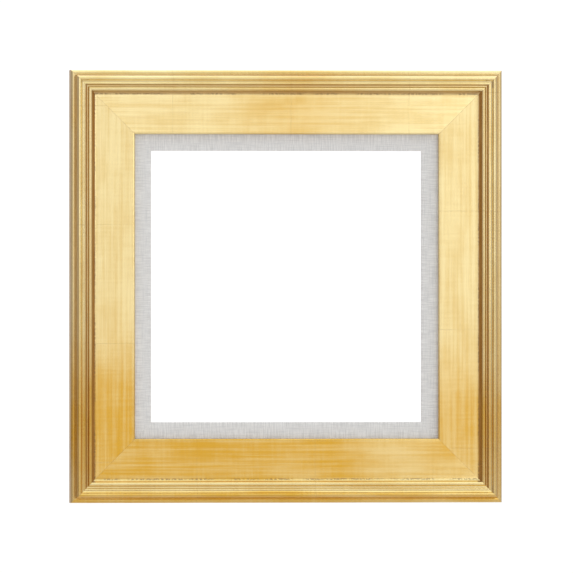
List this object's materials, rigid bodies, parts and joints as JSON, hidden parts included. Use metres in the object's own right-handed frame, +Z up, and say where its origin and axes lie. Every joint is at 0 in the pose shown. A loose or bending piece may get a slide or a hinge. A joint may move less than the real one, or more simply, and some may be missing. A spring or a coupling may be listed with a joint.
{
  "type": "picture frame with linen liner",
  "caption": "Square gilded picture frame with a wide flat panel, a beaded raised rim and a linen-covered liner round an empty opening; hangers and turn buttons behind.",
  "frame": {"origin": "centre of the plane of the moulding's back, at the middle of the opening", "axes": "the face looks along -Y and the wall is on the +Y side; +Z up, +X to the right of someone who looks at the face"},
  "size_m": [0.4702, 0.045, 0.4702],
  "materials": {
    "gilded_wood": "metal leaf over red-brown bole, rubbed and toned; bare stained wood behind",
    "liner_wood": "bare finger-jointed pine",
    "linen": "pale grey-white plain-weave linen, glued down",
    "zinc_steel": "bright zinc plate",
    "nail_steel": "bare blued spring steel",
    "ring_nickel": "nickel plate",
    "bumper_rubber": "soft matt rubber"
  },
  "bodies": {
    "frame": {"rail_top": "gilded_wood", "rail_right": "gilded_wood", "rail_bottom": "gilded_wood", "rail_left": "gilded_wood", "moulding_v_nails": "nail_steel", "liner_top": "liner_wood", "liner_right": "liner_wood", "liner_bottom": "liner_wood", "liner_left": "liner_wood", "linen_top": "linen", "linen_right": "linen", "linen_bottom": "linen", "linen_left": "linen", "liner_v_nails": "nail_steel", "liner_points": "nail_steel", "turn_button_screws": "zinc_steel", "hanger_strap_left": "zinc_steel", "hanger_strap_right": "zinc_steel", "hanger_screws": "zinc_steel", "wall_bumper_left": "bumper_rubber", "wall_bumper_right": "bumper_rubber"},
    "turn_button_top": {"turn_button_top": "zinc_steel"},
    "turn_button_right": {"turn_button_right": "zinc_steel"},
    "turn_button_bottom": {"turn_button_bottom": "zinc_steel"},
    "turn_button_left": {"turn_button_left": "zinc_steel"},
    "d_ring_left": {"d_ring_left": "ring_nickel"},
    "d_ring_right": {"d_ring_right": "ring_nickel"}
  },
  "joints": [
    {"name": "turn_button_top_pivot", "type": "hinge", "parent": "frame", "child": "turn_button_top", "pos_m": [0, 0.0008, 0.18115], "axis": [0, 1, 0], "continuous": true},
    {"name": "turn_button_right_pivot", "type": "hinge", "parent": "frame", "child": "turn_button_right", "pos_m": [0.18115, 0.0008, 0], "axis": [0, 1, 0], "continuous": true},
    {"name": "turn_button_bottom_pivot", "type": "hinge", "parent": "frame", "child": "turn_button_bottom", "pos_m": [0, 0.0008, -0.18115], "axis": [0, 1, 0], "continuous": true},
    {"name": "turn_button_left_pivot", "type": "hinge", "parent": "frame", "child": "turn_button_left", "pos_m": [-0.18115, 0.0008, 0], "axis": [0, 1, 0], "continuous": true},
    {"name": "d_ring_left_swing", "type": "hinge", "parent": "frame", "child": "d_ring_left", "pos_m": [-0.20415, 0.00235, 0.095], "axis": [1, 0, 0], "range_deg": [0, 176]},
    {"name": "d_ring_right_swing", "type": "hinge", "parent": "frame", "child": "d_ring_right", "pos_m": [0.20415, 0.00235, 0.095], "axis": [1, 0, 0], "range_deg": [0, 176]}
  ]
}
